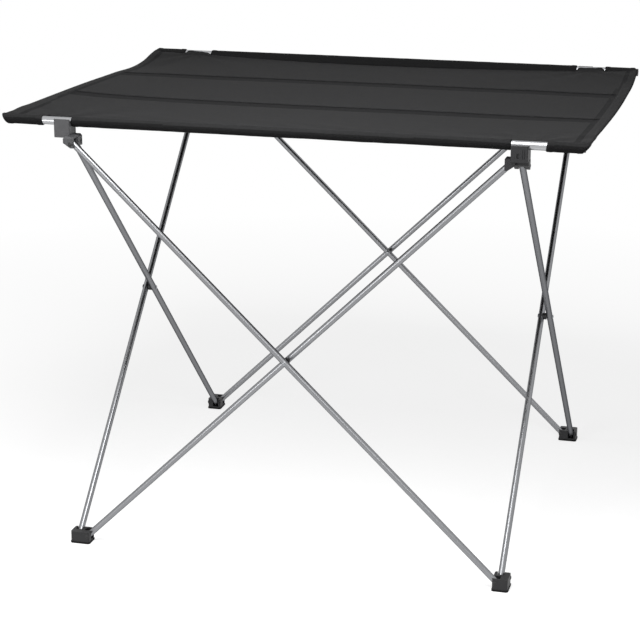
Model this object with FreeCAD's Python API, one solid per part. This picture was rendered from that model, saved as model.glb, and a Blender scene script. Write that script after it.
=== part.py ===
"""Folding camp kitchen table: a fabric top on two edge rods, over a square cage of scissor legs.

Frame: millimetres, origin on the floor under the middle of the table, +X along the long side, +Z up.
Each side of the cage is an X of two equal tubes. The whole cage repeats every quarter turn about Z:
everything with a corner or side number is modelled once, at the front left corner or on the front
side, and turned to its place. Only the rod saddles on the hubs all run along X.
"""
import FreeCAD, Part
import math
import os
from FreeCAD import Vector

# Cage
SIDE = 545.0                # middle plane of one leg pair to that of the opposite pair
RISE = 509.0                # foot pivot up to hub pivot, table open
PIVOT_INSET = 9.5           # from the corner of the middle planes to each pivot, along the side
FOOT_PIVOT_HEIGHT = 10.0    # above the floor
LEG_OFFSET = 5.4            # each leg of an X stands this far out or in from the middle plane

# Leg tubes and their end plugs
LEG_DIAMETER = 7.8
LEG_WALL = 0.9
LEG_OVERHANG = 4.0          # tube past the pivot
PLUG_DEPTH = 9.0            # plug inside the tube, past the pivot
PLUG_DOME = 1.6             # height of the domed plug head
PLUG_RIM_STEP = 0.2         # plug head is this much smaller in radius than the tube

# Pins and rivets
PIN_DIAMETER = 3.0
PIN_HEAD_DIAMETER = 5.6
PIN_HEAD_HEIGHT = 0.9
PIN_GRIP = 2.2              # blind pin end inside the far cheek
RIVET_DIAMETER = 3.6
RIVET_HEAD_DIAMETER = 5.8
RIVET_HEAD_HEIGHT = 1.1
SPACER_DIAMETER = 8.6
SPACER_WRAP = 2.4           # how far the spacer reaches round the inner leg

# Fits
FIXED_FIT = 0.01            # radial, pin pressed in plastic, plug in tube
RUNNING_FIT = 0.06          # radial, tube turning on its pin
SLOT_PLAY = 0.3             # leg to slot wall, each side
SWING_PLAY = 0.6            # slot beyond the sweep of the leg end
SEAT_PLAY = 0.3             # rod in its saddle
SPACER_PLAY = 0.12          # spacer to the leg that turns past it
CUT_PAST = 1.0              # every cutter runs this far past the face it opens

# Feet
FOOT_CHEEK = 3.2            # wall outside each slot
FOOT_REACH = 12.0           # from the corner to the inner end
FOOT_OUTER_REACH = 6.5      # from the corner to the plain outer face
FOOT_HEIGHT = 15.5          # top of the foot above the floor
FOOT_CORNER = 2.5           # rounding of the upright edges
PAD_THICKNESS = 2.0
PAD_RIM = 0.7               # the rubber pad stands proud of the foot

# Hubs
HUB_CHEEK = 4.8             # wall outside each slot
LUG_REACH = 12.8            # from the corner to the inner end of each lug
LUG_START = 0.5             # from the corner to the outer end of each lug
LUG_DROP = 4.6              # underside of each lug below its pivot
LUG_TOP = 9.0               # top of the lugs above the pivots
LUG_SLANT_RUN = 9.0         # the lower outer corner is cut away this far along the lug
LUG_SLANT_RISE = 6.0        # and this far up
LUG_SHOULDER = 2.2          # chamfer of the upper outer edges
SADDLE_SHIFT = 4.0          # middle of the saddle outside the corner, along the rod
SADDLE_LENGTH = 20.0        # along the rod
SADDLE_LIP = 5.4            # wall each side of the rod
PLAIN_LIP_RISE = 4.0        # outer lip top above the middle of the rod, on the two plain hubs
RECESS_LIP_RISE = 0.6       # and on the two hubs with a recess
INNER_LIP_DROP = 2.6        # inner lip top below the middle of the rod
MOUTH_DROP = 2.8            # the saddle's mouth starts to open this far below the middle of the rod
MOUTH_STEP = 0.3            # and this far outside the seat
MOUTH_LEAN = 0.6            # and leans outwards by this share of its height
SADDLE_CORNER = 1.2
RECESS_LENGTH = 6.0
RECESS_WIDTH = 3.0
RECESS_DEPTH = 1.6
RECESS_SHIFT = 1.5          # middle of the recess, towards the middle of the table
RECESS_RISE = 4.5           # middle of the recess above the top of the lugs
GROOVE_WIDTH = 1.0
GROOVE_DEPTH = 0.7
GROOVE_END = 1.0            # grooves stop this short of the lugs and of the inner lip
GROOVE_OFFSETS = (5.6, 7.8)  # grooves beside the recess

# Top
TOP_OVERHANG = 77.5         # top past the middle plane of the left and right leg pairs
ROD_INSET = 4.5             # middle of the rod inside the middle plane of the front and rear leg pairs
ROD_DIAMETER = 10.0
ROD_WALL = 1.0
ROD_ABOVE_PIVOT = 24.5
ROD_CAP = 3.0               # cap head past the end of the rod
ROD_CAP_PLUG = 12.0
FABRIC = 0.8                # thickness of one layer
SLEEVE_PLAY = 0.15          # sleeve round the rod
SHEET_DROP = 1.5            # middle of the sheet below the middle of the rod
SEAM_REACH = 9.5            # from the middle of the rod to the seam that closes the sleeve
SEAM_WIDTH = 1.2
NOTCH_INNER_GAP = 2.0       # from the saddle to the inner end of the cut-out
NOTCH_LENGTH = 41.5
TAB_REACH = 6.0             # the sheet comes this near to the middle of the bare rod
TAB_GAP = 0.5               # from the tab to the sleeve ends
SLAT_REACH = 91.0           # from the middle of the table to the middle of each slat
SLAT_WIDTH = 12.0
SLAT_THICKNESS = 2.5
SLAT_CORNER = 4.0
SLAT_END_GAP = 4.0
POCKET_PLAY = 0.2
POCKET_FLANGE = 4.0
HEM_WIDTH = 12.0
HEM_GAP = 2.0               # from the pocket end to the side hem

CORNERS = ("front_left", "front_right", "rear_right", "rear_left")
SIDES = ("front", "right", "rear", "left")

# Worked out from the sizes above
HALF = SIDE / 2
HUB_Z = FOOT_PIVOT_HEIGHT + RISE
ROD_Z = HUB_Z + ROD_ABOVE_PIVOT
ROD_Y = HALF - ROD_INSET
TOP_HALF = HALF + TOP_OVERHANG
LEG_RADIUS = LEG_DIAMETER / 2
LEG_BORE = LEG_RADIUS - LEG_WALL
ROD_RADIUS = ROD_DIAMETER / 2
SLOT_HALF = LEG_RADIUS + SLOT_PLAY
SWEEP = math.hypot(LEG_OVERHANG, LEG_RADIUS) + SWING_PLAY
SLOT_NEAR = LEG_OFFSET - SLOT_HALF
SLOT_FAR = LEG_OFFSET + SLOT_HALF
FOOT_SIDE = SLOT_FAR + FOOT_CHEEK
HUB_SIDE = SLOT_FAR + HUB_CHEEK
SEAT_RADIUS = ROD_RADIUS + SEAT_PLAY
INNER_LIP_TOP = ROD_Z - INNER_LIP_DROP
SADDLE_X = HALF + SADDLE_SHIFT
NOTCH_START = SADDLE_X - SADDLE_LENGTH / 2 - NOTCH_INNER_GAP
NOTCH_END = NOTCH_START + NOTCH_LENGTH
SHEET_BOTTOM = ROD_Z - SHEET_DROP - FABRIC / 2
POCKET_HALF = TOP_HALF - HEM_WIDTH - HEM_GAP

X = Vector(1, 0, 0)
Y = Vector(0, 1, 0)
Z = Vector(0, 0, 1)


def box(x0, x1, y0, y1, z0, z1):
    """Block between two opposite corners."""
    return Part.makeBox(x1 - x0, y1 - y0, z1 - z0, Vector(x0, y0, z0))


def corner_box(x0, x1, y0, y1, z0, z1):
    """Block measured from the front left corner of the middle planes, X and Y running inwards."""
    return box(x0 - HALF, x1 - HALF, y0 - HALF, y1 - HALF, z0, z1)


def rod_between(start, end, radius):
    """Round bar from start to end."""
    axis = end - start
    return Part.makeCylinder(radius, axis.Length, start, axis)


def quarter_turned(shape, number):
    """Copy turned by number quarter turns about the middle of the table."""
    turned = shape.copy()
    turned.rotate(Vector(0, 0, 0), Z, 90.0 * number)
    return turned


def upright_rounded(block, radius):
    """Block with its four upright edges rounded."""
    upright = [e for e in block.Edges if abs(e.tangentAt(e.FirstParameter).z) > 0.99]
    return block.makeFillet(radius, upright)


def domed_head(base, axis, radius, height):
    """Low domed rivet head: a shallow round cap on a flat base."""
    across = axis.cross(X if abs(axis.x) < 0.5 else Y).normalize()
    rim = base + across * radius
    crown = base + axis * height
    sphere_radius = (radius ** 2 + height ** 2) / (2 * height)
    half_angle = math.asin(radius / sphere_radius) / 2
    centre = crown - axis * sphere_radius
    shoulder = centre + across * (sphere_radius * math.sin(half_angle))
    shoulder = shoulder + axis * (sphere_radius * math.cos(half_angle))
    edges = [Part.makeLine(base, rim), Part.Arc(rim, shoulder, crown).toShape(), Part.makeLine(crown, base)]
    return Part.Face(Part.Wire(edges)).revolve(base, axis, 360)


def write(node, *solids):
    """One STEP file for one node, as one solid or a group of separate solids."""
    shape = solids[0] if len(solids) == 1 else Part.makeCompound(list(solids))
    shape.exportStep("parts/" + node + ".step")


# ---- Legs ----

def leg_ends(outer):
    """Foot and hub pivot points of a front leg. The outer leg runs from the right foot to the left hub."""
    reach = HALF - PIVOT_INSET
    if outer:
        return Vector(reach, -HALF - LEG_OFFSET, FOOT_PIVOT_HEIGHT), Vector(-reach, -HALF - LEG_OFFSET, HUB_Z)
    return Vector(-reach, -HALF + LEG_OFFSET, FOOT_PIVOT_HEIGHT), Vector(reach, -HALF + LEG_OFFSET, HUB_Z)


def cross_hole(point, radius):
    """Cutter through a front leg at a point, along Y."""
    reach = LEG_RADIUS + CUT_PAST
    return rod_between(point - Y * reach, point + Y * reach, radius)


def leg_tube(outer):
    foot, hub = leg_ends(outer)
    along = (hub - foot).normalize()
    start = foot - along * LEG_OVERHANG
    end = hub + along * LEG_OVERHANG
    bore = rod_between(start - along * CUT_PAST, end + along * CUT_PAST, LEG_BORE)
    tube = rod_between(start, end, LEG_RADIUS).cut(bore)
    middle_play = RUNNING_FIT if outer else FIXED_FIT
    tube = tube.cut(cross_hole((foot + hub) * 0.5, RIVET_DIAMETER / 2 + middle_play))
    for pivot in (foot, hub):
        tube = tube.cut(cross_hole(pivot, PIN_DIAMETER / 2 + RUNNING_FIT))
    return tube


def leg_plugs(outer):
    """Nylon plug in each end of a leg, domed outside the tube and drilled for the pin."""
    foot, hub = leg_ends(outer)
    along = (hub - foot).normalize()
    plugs = []
    for pivot, out in ((foot, along * -1), (hub, along)):
        mouth = pivot + out * LEG_OVERHANG
        plug = rod_between(pivot - out * PLUG_DEPTH, mouth, LEG_BORE - FIXED_FIT)
        plug = plug.fuse(domed_head(mouth, out, LEG_RADIUS - PLUG_RIM_STEP, PLUG_DOME))
        plugs.append(plug.cut(cross_hole(pivot, PIN_DIAMETER / 2 + RUNNING_FIT)))
    return plugs


def leg_middle():
    foot, hub = leg_ends(True)
    return Vector((foot.x + hub.x) / 2, -HALF, (foot.z + hub.z) / 2)


def cross_rivet():
    """Rivet through both legs of an X, a domed head on each side."""
    middle = leg_middle()
    reach = LEG_OFFSET + LEG_RADIUS + SPACER_PLAY
    rivet = rod_between(middle - Y * reach, middle + Y * reach, RIVET_DIAMETER / 2)
    for out in (Y * -1, Y):
        head = domed_head(middle + out * reach, out, RIVET_HEAD_DIAMETER / 2, RIVET_HEAD_HEIGHT)
        rivet = rivet.fuse(head)
    return rivet


def cross_spacer():
    """Plastic spacer between the legs of an X: cradled on the inner leg, flat against the outer one."""
    middle = leg_middle()
    gap = LEG_OFFSET - LEG_RADIUS
    start = middle - Y * (gap - SPACER_PLAY)
    end = middle + Y * (gap + SPACER_WRAP)
    foot, hub = leg_ends(False)
    spacer = rod_between(start, end, SPACER_DIAMETER / 2)
    spacer = spacer.cut(rod_between(foot, hub, LEG_RADIUS + FIXED_FIT))
    hole = rod_between(start - Y * CUT_PAST, end + Y * CUT_PAST, RIVET_DIAMETER / 2 + FIXED_FIT)
    return spacer.cut(hole)


# ---- Feet ----

def foot_outline(grow, z0, z1):
    block = corner_box(-FOOT_SIDE - grow, FOOT_REACH + grow, -FOOT_OUTER_REACH - grow,
                       FOOT_SIDE + grow, z0, z1)
    return upright_rounded(block, FOOT_CORNER + grow)


def foot_pin_spans():
    """Start and end of each foot pin: one through both cheeks, one from the outer face into the core."""
    pivot = PIVOT_INSET - HALF
    z = FOOT_PIVOT_HEIGHT
    through = (Vector(pivot, -FOOT_OUTER_REACH - HALF, z), Vector(pivot, FOOT_SIDE - HALF, z))
    blind = (Vector(-FOOT_SIDE - HALF, pivot, z), Vector(PIN_GRIP - SLOT_NEAR - HALF, pivot, z))
    return through, blind


def foot():
    body = foot_outline(0.0, PAD_THICKNESS, FOOT_HEIGHT)
    floor = FOOT_PIVOT_HEIGHT - SWEEP
    start = PIVOT_INSET - SWEEP
    end = FOOT_REACH + CUT_PAST
    top = FOOT_HEIGHT + CUT_PAST
    body = body.cut(corner_box(start, end, SLOT_NEAR, SLOT_FAR, floor, top))
    body = body.cut(corner_box(-SLOT_FAR, -SLOT_NEAR, start, end, floor, top))
    for first, last in foot_pin_spans():
        body = body.cut(rod_between(first, last, PIN_DIAMETER / 2 + FIXED_FIT))
    return body


def foot_pins():
    through, blind = foot_pin_spans()
    pins = []
    for (first, last), two_heads in ((through, True), (blind, False)):
        along = (last - first).normalize()
        pin = rod_between(first, last, PIN_DIAMETER / 2)
        pin = pin.fuse(domed_head(first, along * -1, PIN_HEAD_DIAMETER / 2, PIN_HEAD_HEIGHT))
        if two_heads:
            pin = pin.fuse(domed_head(last, along, PIN_HEAD_DIAMETER / 2, PIN_HEAD_HEIGHT))
        pins.append(pin)
    return pins


def foot_pad():
    return foot_outline(PAD_RIM, 0.0, PAD_THICKNESS)


# ---- Hubs ----

def hub_pin_spans():
    """Start and end of each hub pin, both blind: one from the outer face, one from the inner face."""
    pivot = PIVOT_INSET - HALF
    outer = (Vector(pivot, -HUB_SIDE - HALF, HUB_Z), Vector(pivot, PIN_GRIP - SLOT_NEAR - HALF, HUB_Z))
    inner = (Vector(HUB_SIDE - HALF, pivot, HUB_Z), Vector(SLOT_NEAR - PIN_GRIP - HALF, pivot, HUB_Z))
    return outer, inner


def lug(side_start, side_end, cut_side):
    """Lug along X, from its outer end towards the middle of the table, slanted below its outer end."""
    low = HUB_Z - LUG_DROP
    high = HUB_Z + LUG_TOP
    block = corner_box(LUG_START, LUG_REACH, side_start, side_end, low, high)
    chamfered = [e for e in block.Edges if e.BoundBox.ZMin > high - LUG_SHOULDER]
    outer_end = [e for e in chamfered if e.BoundBox.XMax < LUG_START - HALF + LUG_SHOULDER]
    side = [e for e in chamfered if abs(e.BoundBox.Center.y - cut_side + HALF) < LUG_SHOULDER]
    block = block.makeChamfer(LUG_SHOULDER, outer_end + side)
    start = Vector(LUG_START - HALF - CUT_PAST, side_start - HALF, low - CUT_PAST)
    slant = LUG_SLANT_RISE / LUG_SLANT_RUN
    run = LUG_SLANT_RUN + CUT_PAST + CUT_PAST / slant
    corner = [start, start + X * run, start + Z * (run * slant), start]
    wedge = Part.Face(Part.makePolygon(corner)).extrude(Y * (side_end - side_start))
    return block.cut(wedge)


def mirrored_diagonally(shape):
    """Copy of a piece at the front left corner with its X and Y exchanged."""
    return shape.mirror(Vector(0, 0, 0), Vector(1, -1, 0).normalize())


def hub_lugs():
    """The two lugs that hold the leg ends, one along each side, joined at the corner."""
    wall = PIVOT_INSET - SWEEP
    along_x = lug(-HUB_SIDE, wall, -HUB_SIDE)
    along_y = mirrored_diagonally(lug(SLOT_NEAR - HUB_CHEEK, HUB_SIDE, HUB_SIDE))
    return along_x.fuse(along_y)


def hub_slots():
    low = HUB_Z - LUG_DROP - CUT_PAST
    roof = HUB_Z + SWEEP
    start = PIVOT_INSET - SWEEP
    end = LUG_REACH + CUT_PAST
    along_x = corner_box(start, end, -SLOT_FAR, -SLOT_NEAR, low, roof)
    along_y = corner_box(SLOT_NEAR, SLOT_FAR, start, end, low, roof)
    return [along_x, along_y]


def saddle_block(corner):
    """Block that stands on the lugs and carries the rod. It always runs along X.

    Its outer lip is the higher one, and its mouth leans outwards, the way the rod lifts off.
    """
    side_x = -1 if corner in (0, 3) else 1
    side_y = -1 if corner in (0, 1) else 1
    half_depth = SEAT_RADIUS + SADDLE_LIP
    half_length = SADDLE_LENGTH / 2
    x = side_x * SADDLE_X
    y = side_y * ROD_Y
    outer_top = ROD_Z + (RECESS_LIP_RISE if corner % 2 else PLAIN_LIP_RISE)
    block = box(x - half_length, x + half_length, y - half_depth, y + half_depth, HUB_Z + SWEEP, outer_top)
    block = upright_rounded(block, SADDLE_CORNER)
    start = x - half_length - CUT_PAST
    length = SADDLE_LENGTH + 2 * CUT_PAST
    block = block.cut(Part.makeCylinder(SEAT_RADIUS, length, Vector(start, y, ROD_Z), X))
    above = PLAIN_LIP_RISE + CUT_PAST
    mouth_foot = SEAT_RADIUS + MOUTH_STEP
    past_inner = half_depth + CUT_PAST
    section = [
        (0.0, -MOUTH_DROP),
        (mouth_foot, -MOUTH_DROP),
        (mouth_foot + MOUTH_LEAN * (MOUTH_DROP + above), above),
        (-past_inner, above),
        (-past_inner, -INNER_LIP_DROP),
        (0.0, -INNER_LIP_DROP),
    ]
    points = [Vector(start, y + side_y * out, ROD_Z + up) for out, up in section]
    mouth = Part.Face(Part.makePolygon(points + points[:1])).extrude(X * length)
    block = block.cut(mouth)
    if corner % 2:
        block = block.cut(saddle_recess(x, y + side_y * half_depth, side_x, side_y))
    return block


def saddle_recess(x, face_y, side_x, side_y):
    """Oval locking recess and two grooves in the outer face of the saddle."""
    middle = Vector(x - side_x * RECESS_SHIFT, face_y - side_y * RECESS_DEPTH, HUB_Z + LUG_TOP + RECESS_RISE)
    out = Y * (side_y * 2 * RECESS_DEPTH)
    reach = (RECESS_LENGTH - RECESS_WIDTH) / 2
    cutter = box(middle.x - RECESS_WIDTH / 2, middle.x + RECESS_WIDTH / 2,
                 min(middle.y, middle.y + out.y), max(middle.y, middle.y + out.y),
                 middle.z - reach, middle.z + reach)
    for end in (-reach, reach):
        cutter = cutter.fuse(rod_between(middle + Z * end, middle + Z * end + out, RECESS_WIDTH / 2))
    for offset in GROOVE_OFFSETS:
        groove_x = middle.x + side_x * offset
        cutter = cutter.fuse(box(groove_x - GROOVE_WIDTH / 2, groove_x + GROOVE_WIDTH / 2,
                                 face_y - GROOVE_DEPTH, face_y + GROOVE_DEPTH,
                                 HUB_Z + LUG_TOP + GROOVE_END, INNER_LIP_TOP - GROOVE_END))
    return cutter


def hub(corner):
    body = quarter_turned(hub_lugs(), corner).fuse(saddle_block(corner))
    for slot in hub_slots():
        body = body.cut(quarter_turned(slot, corner))
    for first, last in hub_pin_spans():
        hole = rod_between(first, last, PIN_DIAMETER / 2 + FIXED_FIT)
        body = body.cut(quarter_turned(hole, corner))
    return body.removeSplitter()


def hub_pins():
    pins = []
    for first, last in hub_pin_spans():
        along = (last - first).normalize()
        pin = rod_between(first, last, PIN_DIAMETER / 2)
        pins.append(pin.fuse(domed_head(first, along * -1, PIN_HEAD_DIAMETER / 2, PIN_HEAD_HEIGHT)))
    return pins


# ---- Top ----

def edge_rod(side_y):
    half = TOP_HALF - ROD_CAP
    start = Vector(-half, side_y * ROD_Y, ROD_Z)
    end = Vector(half, side_y * ROD_Y, ROD_Z)
    bore = rod_between(start - X * CUT_PAST, end + X * CUT_PAST, ROD_RADIUS - ROD_WALL)
    return rod_between(start, end, ROD_RADIUS).cut(bore)


def rod_caps(side_y):
    caps = []
    for out in (-1, 1):
        face = Vector(out * (TOP_HALF - ROD_CAP), side_y * ROD_Y, ROD_Z)
        head = rod_between(face, face + X * (out * ROD_CAP), ROD_RADIUS)
        plug = rod_between(face - X * (out * ROD_CAP_PLUG), face, ROD_RADIUS - ROD_WALL - FIXED_FIT)
        caps.append(head.fuse(plug))
    return caps


def top_sheet():
    """Fabric sheet between the sleeves, with a tab beside the bare rod in each cut-out."""
    top = SHEET_BOTTOM + FABRIC
    reach = ROD_Y - SEAM_REACH
    tab = ROD_Y - TAB_REACH
    sheet = box(-TOP_HALF, TOP_HALF, -reach, reach, SHEET_BOTTOM, top)
    for side_x in (-1, 1):
        x0, x1 = sorted((side_x * (NOTCH_START + TAB_GAP), side_x * (NOTCH_END - TAB_GAP)))
        sheet = sheet.fuse(box(x0, x1, -tab, tab, SHEET_BOTTOM, top))
    return sheet.removeSplitter()


def tangent_angles(across, up, radius):
    """Angles on a circle round the rod where the lines from a point inside the table touch it."""
    towards = math.atan2(up, across)
    half = math.acos(radius / math.hypot(across, up))
    return towards + half, towards - half


def sleeve_piece(side_y, x0, x1):
    """Sleeve of one fabric layer: round the rod, both ends drawn together at the sheet's edge."""
    inner = ROD_RADIUS + SLEEVE_PLAY
    outer = inner + FABRIC
    half_layer = FABRIC / 2
    upper_end = tangent_angles(SEAM_REACH, half_layer - SHEET_DROP, outer)[0]
    lower_end = tangent_angles(SEAM_REACH, -half_layer - SHEET_DROP, outer)[1]
    inner_ends = tangent_angles(SEAM_REACH - SEAM_WIDTH, -SHEET_DROP, inner)

    def at(across, up):
        return Vector(x0, side_y * (ROD_Y - across), ROD_Z + up)

    def on_circle(radius, angle):
        return at(radius * math.cos(angle), radius * math.sin(angle))

    outer_arc = Part.Arc(on_circle(outer, upper_end), on_circle(outer, math.pi),
                         on_circle(outer, lower_end)).toShape()
    outline = [
        outer_arc,
        Part.makeLine(on_circle(outer, lower_end), at(SEAM_REACH, -half_layer - SHEET_DROP)),
        Part.makeLine(at(SEAM_REACH, -half_layer - SHEET_DROP), at(SEAM_REACH, half_layer - SHEET_DROP)),
        Part.makeLine(at(SEAM_REACH, half_layer - SHEET_DROP), on_circle(outer, upper_end)),
    ]
    inner_arc = Part.Arc(on_circle(inner, inner_ends[0]), on_circle(inner, math.pi),
                         on_circle(inner, inner_ends[1])).toShape()
    fold = at(SEAM_REACH - SEAM_WIDTH, -SHEET_DROP)
    room = [
        inner_arc,
        Part.makeLine(on_circle(inner, inner_ends[1]), fold),
        Part.makeLine(fold, on_circle(inner, inner_ends[0])),
    ]
    section = Part.Face(Part.Wire(outline)).cut(Part.Face(Part.Wire(room)))
    return section.extrude(X * (x1 - x0)).Solids[0]


def sleeve(side_y):
    """The sleeve in three runs, with a cut-out between them at each hub."""
    runs = ((-TOP_HALF, -NOTCH_END), (-NOTCH_START, NOTCH_START), (NOTCH_END, TOP_HALF))
    return [sleeve_piece(side_y, x0, x1) for x0, x1 in runs]


def slat(side_y):
    """Flat stiffening slat under the fabric."""
    y = side_y * SLAT_REACH
    half = POCKET_HALF - SLAT_END_GAP
    top = SHEET_BOTTOM - POCKET_PLAY
    bar = box(-half, half, y - SLAT_WIDTH / 2, y + SLAT_WIDTH / 2, top - SLAT_THICKNESS, top)
    return upright_rounded(bar, SLAT_CORNER)


def slat_pocket(side_y):
    """Fabric channel sewn under the sheet round a slat."""
    y = side_y * SLAT_REACH
    inner = SLAT_WIDTH / 2 + POCKET_PLAY
    depth = SLAT_THICKNESS + 2 * POCKET_PLAY
    outer = inner + FABRIC
    flange = outer + POCKET_FLANGE
    strip = box(-POCKET_HALF, POCKET_HALF, y - flange, y + flange, SHEET_BOTTOM - FABRIC, SHEET_BOTTOM)
    channel = box(-POCKET_HALF, POCKET_HALF, y - outer, y + outer,
                  SHEET_BOTTOM - depth - FABRIC, SHEET_BOTTOM)
    room = box(-POCKET_HALF - CUT_PAST, POCKET_HALF + CUT_PAST, y - inner, y + inner,
               SHEET_BOTTOM - depth, SHEET_BOTTOM + CUT_PAST)
    return strip.fuse(channel).cut(room)


def side_hem(side_x):
    """Turned and sewn hem under each short edge of the sheet."""
    x0, x1 = sorted((side_x * (TOP_HALF - HEM_WIDTH), side_x * TOP_HALF))
    reach = ROD_Y - SEAM_REACH - SEAM_WIDTH
    return box(x0, x1, -reach, reach, SHEET_BOTTOM - FABRIC, SHEET_BOTTOM)


def main():
    os.makedirs("parts", exist_ok=True)
    for number, corner in enumerate(CORNERS):
        write("foot_" + corner, quarter_turned(foot(), number))
        write("foot_pad_" + corner, quarter_turned(foot_pad(), number))
        write("foot_pins_" + corner, *[quarter_turned(pin, number) for pin in foot_pins()])
        write("hub_" + corner, hub(number))
        write("hub_pins_" + corner, *[quarter_turned(pin, number) for pin in hub_pins()])
    for number, side in enumerate(SIDES):
        for outer, name in ((True, "outer"), (False, "inner")):
            write("leg_" + side + "_" + name, quarter_turned(leg_tube(outer), number))
            plugs = [quarter_turned(plug, number) for plug in leg_plugs(outer)]
            write("leg_plugs_" + side + "_" + name, *plugs)
        write("cross_rivet_" + side, quarter_turned(cross_rivet(), number))
        write("cross_spacer_" + side, quarter_turned(cross_spacer(), number))
    write("top_fabric", top_sheet())
    for side_y, edge in ((-1, "front"), (1, "rear")):
        write("rod_" + edge, edge_rod(side_y))
        write("rod_caps_" + edge, *rod_caps(side_y))
        write("sleeve_" + edge, *sleeve(side_y))
        write("slat_" + edge, slat(side_y))
        write("slat_pocket_" + edge, slat_pocket(side_y))
    for side_x, name in ((-1, "left"), (1, "right")):
        write("hem_" + name, side_hem(side_x))


main()
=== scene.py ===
"""Looks of the folding camp kitchen table: cloth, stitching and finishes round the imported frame.

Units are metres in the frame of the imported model. Positions come from its nodes.
"""
import math

import bmesh
import bpy
import numpy as np
from mathutils import Matrix, Vector, noise


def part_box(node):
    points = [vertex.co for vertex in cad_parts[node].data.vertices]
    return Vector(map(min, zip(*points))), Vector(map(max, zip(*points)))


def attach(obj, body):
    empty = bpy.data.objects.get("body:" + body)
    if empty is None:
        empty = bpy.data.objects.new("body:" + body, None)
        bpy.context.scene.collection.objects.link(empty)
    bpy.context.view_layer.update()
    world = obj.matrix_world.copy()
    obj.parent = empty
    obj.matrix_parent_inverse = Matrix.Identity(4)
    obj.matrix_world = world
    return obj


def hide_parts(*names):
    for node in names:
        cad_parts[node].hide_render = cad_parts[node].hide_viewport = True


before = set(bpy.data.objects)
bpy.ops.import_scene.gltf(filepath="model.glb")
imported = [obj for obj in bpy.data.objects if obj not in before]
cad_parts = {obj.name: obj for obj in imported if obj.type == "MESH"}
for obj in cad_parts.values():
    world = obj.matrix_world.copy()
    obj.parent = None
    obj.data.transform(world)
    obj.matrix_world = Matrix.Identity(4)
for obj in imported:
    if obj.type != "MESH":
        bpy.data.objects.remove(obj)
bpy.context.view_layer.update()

MM = 0.001
LAYER = 0.8 * MM              # one layer of cloth
# Depth of the layers under the sheet, in layers: they touch it with a little air between.
CLOTH_UNDER = 1.1
HEM_UNDER = 1.05
SLEEVE_UNDER = 1.15
CHANNEL_LAYER = 0.8           # the channels are of thinner cloth, by this share
STITCH_PITCH = 3.2 * MM
STITCH_LENGTH = 2.3 * MM
STITCH_WIDTH = 0.55 * MM
STITCH_HEIGHT = 0.45 * MM
HEM_STITCH = 10.2 * MM        # stitch row of the side hems, from the edge
SEAM_STITCH = 3.2 * MM        # stitch row inside the sleeve seam

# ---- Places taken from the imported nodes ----

TOP_BODY = "tabletop"
sheet_low, sheet_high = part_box("top_fabric")
TOP_HALF = sheet_high.x
SHEET_Z = (sheet_low.z + sheet_high.z) / 2
rod_low, rod_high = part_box("rod_rear")
ROD_Y = (rod_low.y + rod_high.y) / 2
ROD_Z = (rod_low.z + rod_high.z) / 2
sleeve_low, sleeve_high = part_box("sleeve_rear")
SLEEVE_RADIUS = sleeve_high.y - ROD_Y - LAYER / 2
SEAM_Y = sleeve_low.y
TAPE_PAST = 0.4 * MM          # the tape reaches this much past the cloth of a tab
TAB_DEPTH = sheet_high.y - SEAM_Y - TAPE_PAST
SLAT_BOXES = {side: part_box("slat_" + side) for side in ("front", "rear")}
SLAT_YS = [(low.y + high.y) / 2 for low, high in SLAT_BOXES.values()]
POCKET_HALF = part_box("slat_pocket_rear")[1].x
HEM_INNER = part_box("hem_right")[0].x
BAND_HALF = TOP_HALF - HEM_STITCH   # the rows along the slats end at the stitching of the hems
# Ends of a sleeve's three runs, from the left: the fourth closes the middle run, the fifth starts the last.
SLEEVE_ENDS = sorted({round(v.co.x, 4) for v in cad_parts["sleeve_rear"].data.vertices})
NOTCH_START, NOTCH_END = SLEEVE_ENDS[3:5]


def smooth_step(value, start, end):
    """0 before start, 1 past end, and smooth between."""
    t = min(1.0, max(0.0, (value - start) / (end - start)))
    return t * t * (3 - 2 * t)


def bump(value, middle, width):
    """A smooth hump of height 1."""
    return math.exp(-((value - middle) / width) ** 2)


# A different pattern of waves for each use.
SEEDS = {"band": 3.1, "hem": 7.7, "seam": 1.3, "sheet": 5.0, "pull": 8.8, "sleeve": 2.0, "slack": 9.0,
         "channel": 4.4}


def ripple(x, y, length, seed):
    """Smooth random waves about length metres long, from -1 to 1."""
    return noise.noise(Vector((x / length, y / length, seed)))


# ---- The lie of the cloth ----

SAG_MIDDLE = 1.6 * MM         # slack of the sheet half way between the rods
# The free side edges, left and right: their slack half way, how far it lies towards the rear,
# the extra slack of the bay behind the slats, the belly outwards, and the reach of the front corner.
EDGE_SAG = (3.9 * MM, 8.0 * MM)
EDGE_SKEW = (1.9, 0.4)
EDGE_BAY = (2.5 * MM, 1.5 * MM)
EDGE_BELLY = (0.5 * MM, 4.0 * MM)
EDGE_CORNER = (6.0 * MM, 5.0 * MM)
# Each of these grows towards the side edges, or towards the front corner, with this power.
LIFT_POWER = 4
SAG_POWER = 4
BAY_POWER = 6
BELLY_POWER = 8
CORNER_POWER = 5
SLEEVE_POWER = 12
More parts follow.
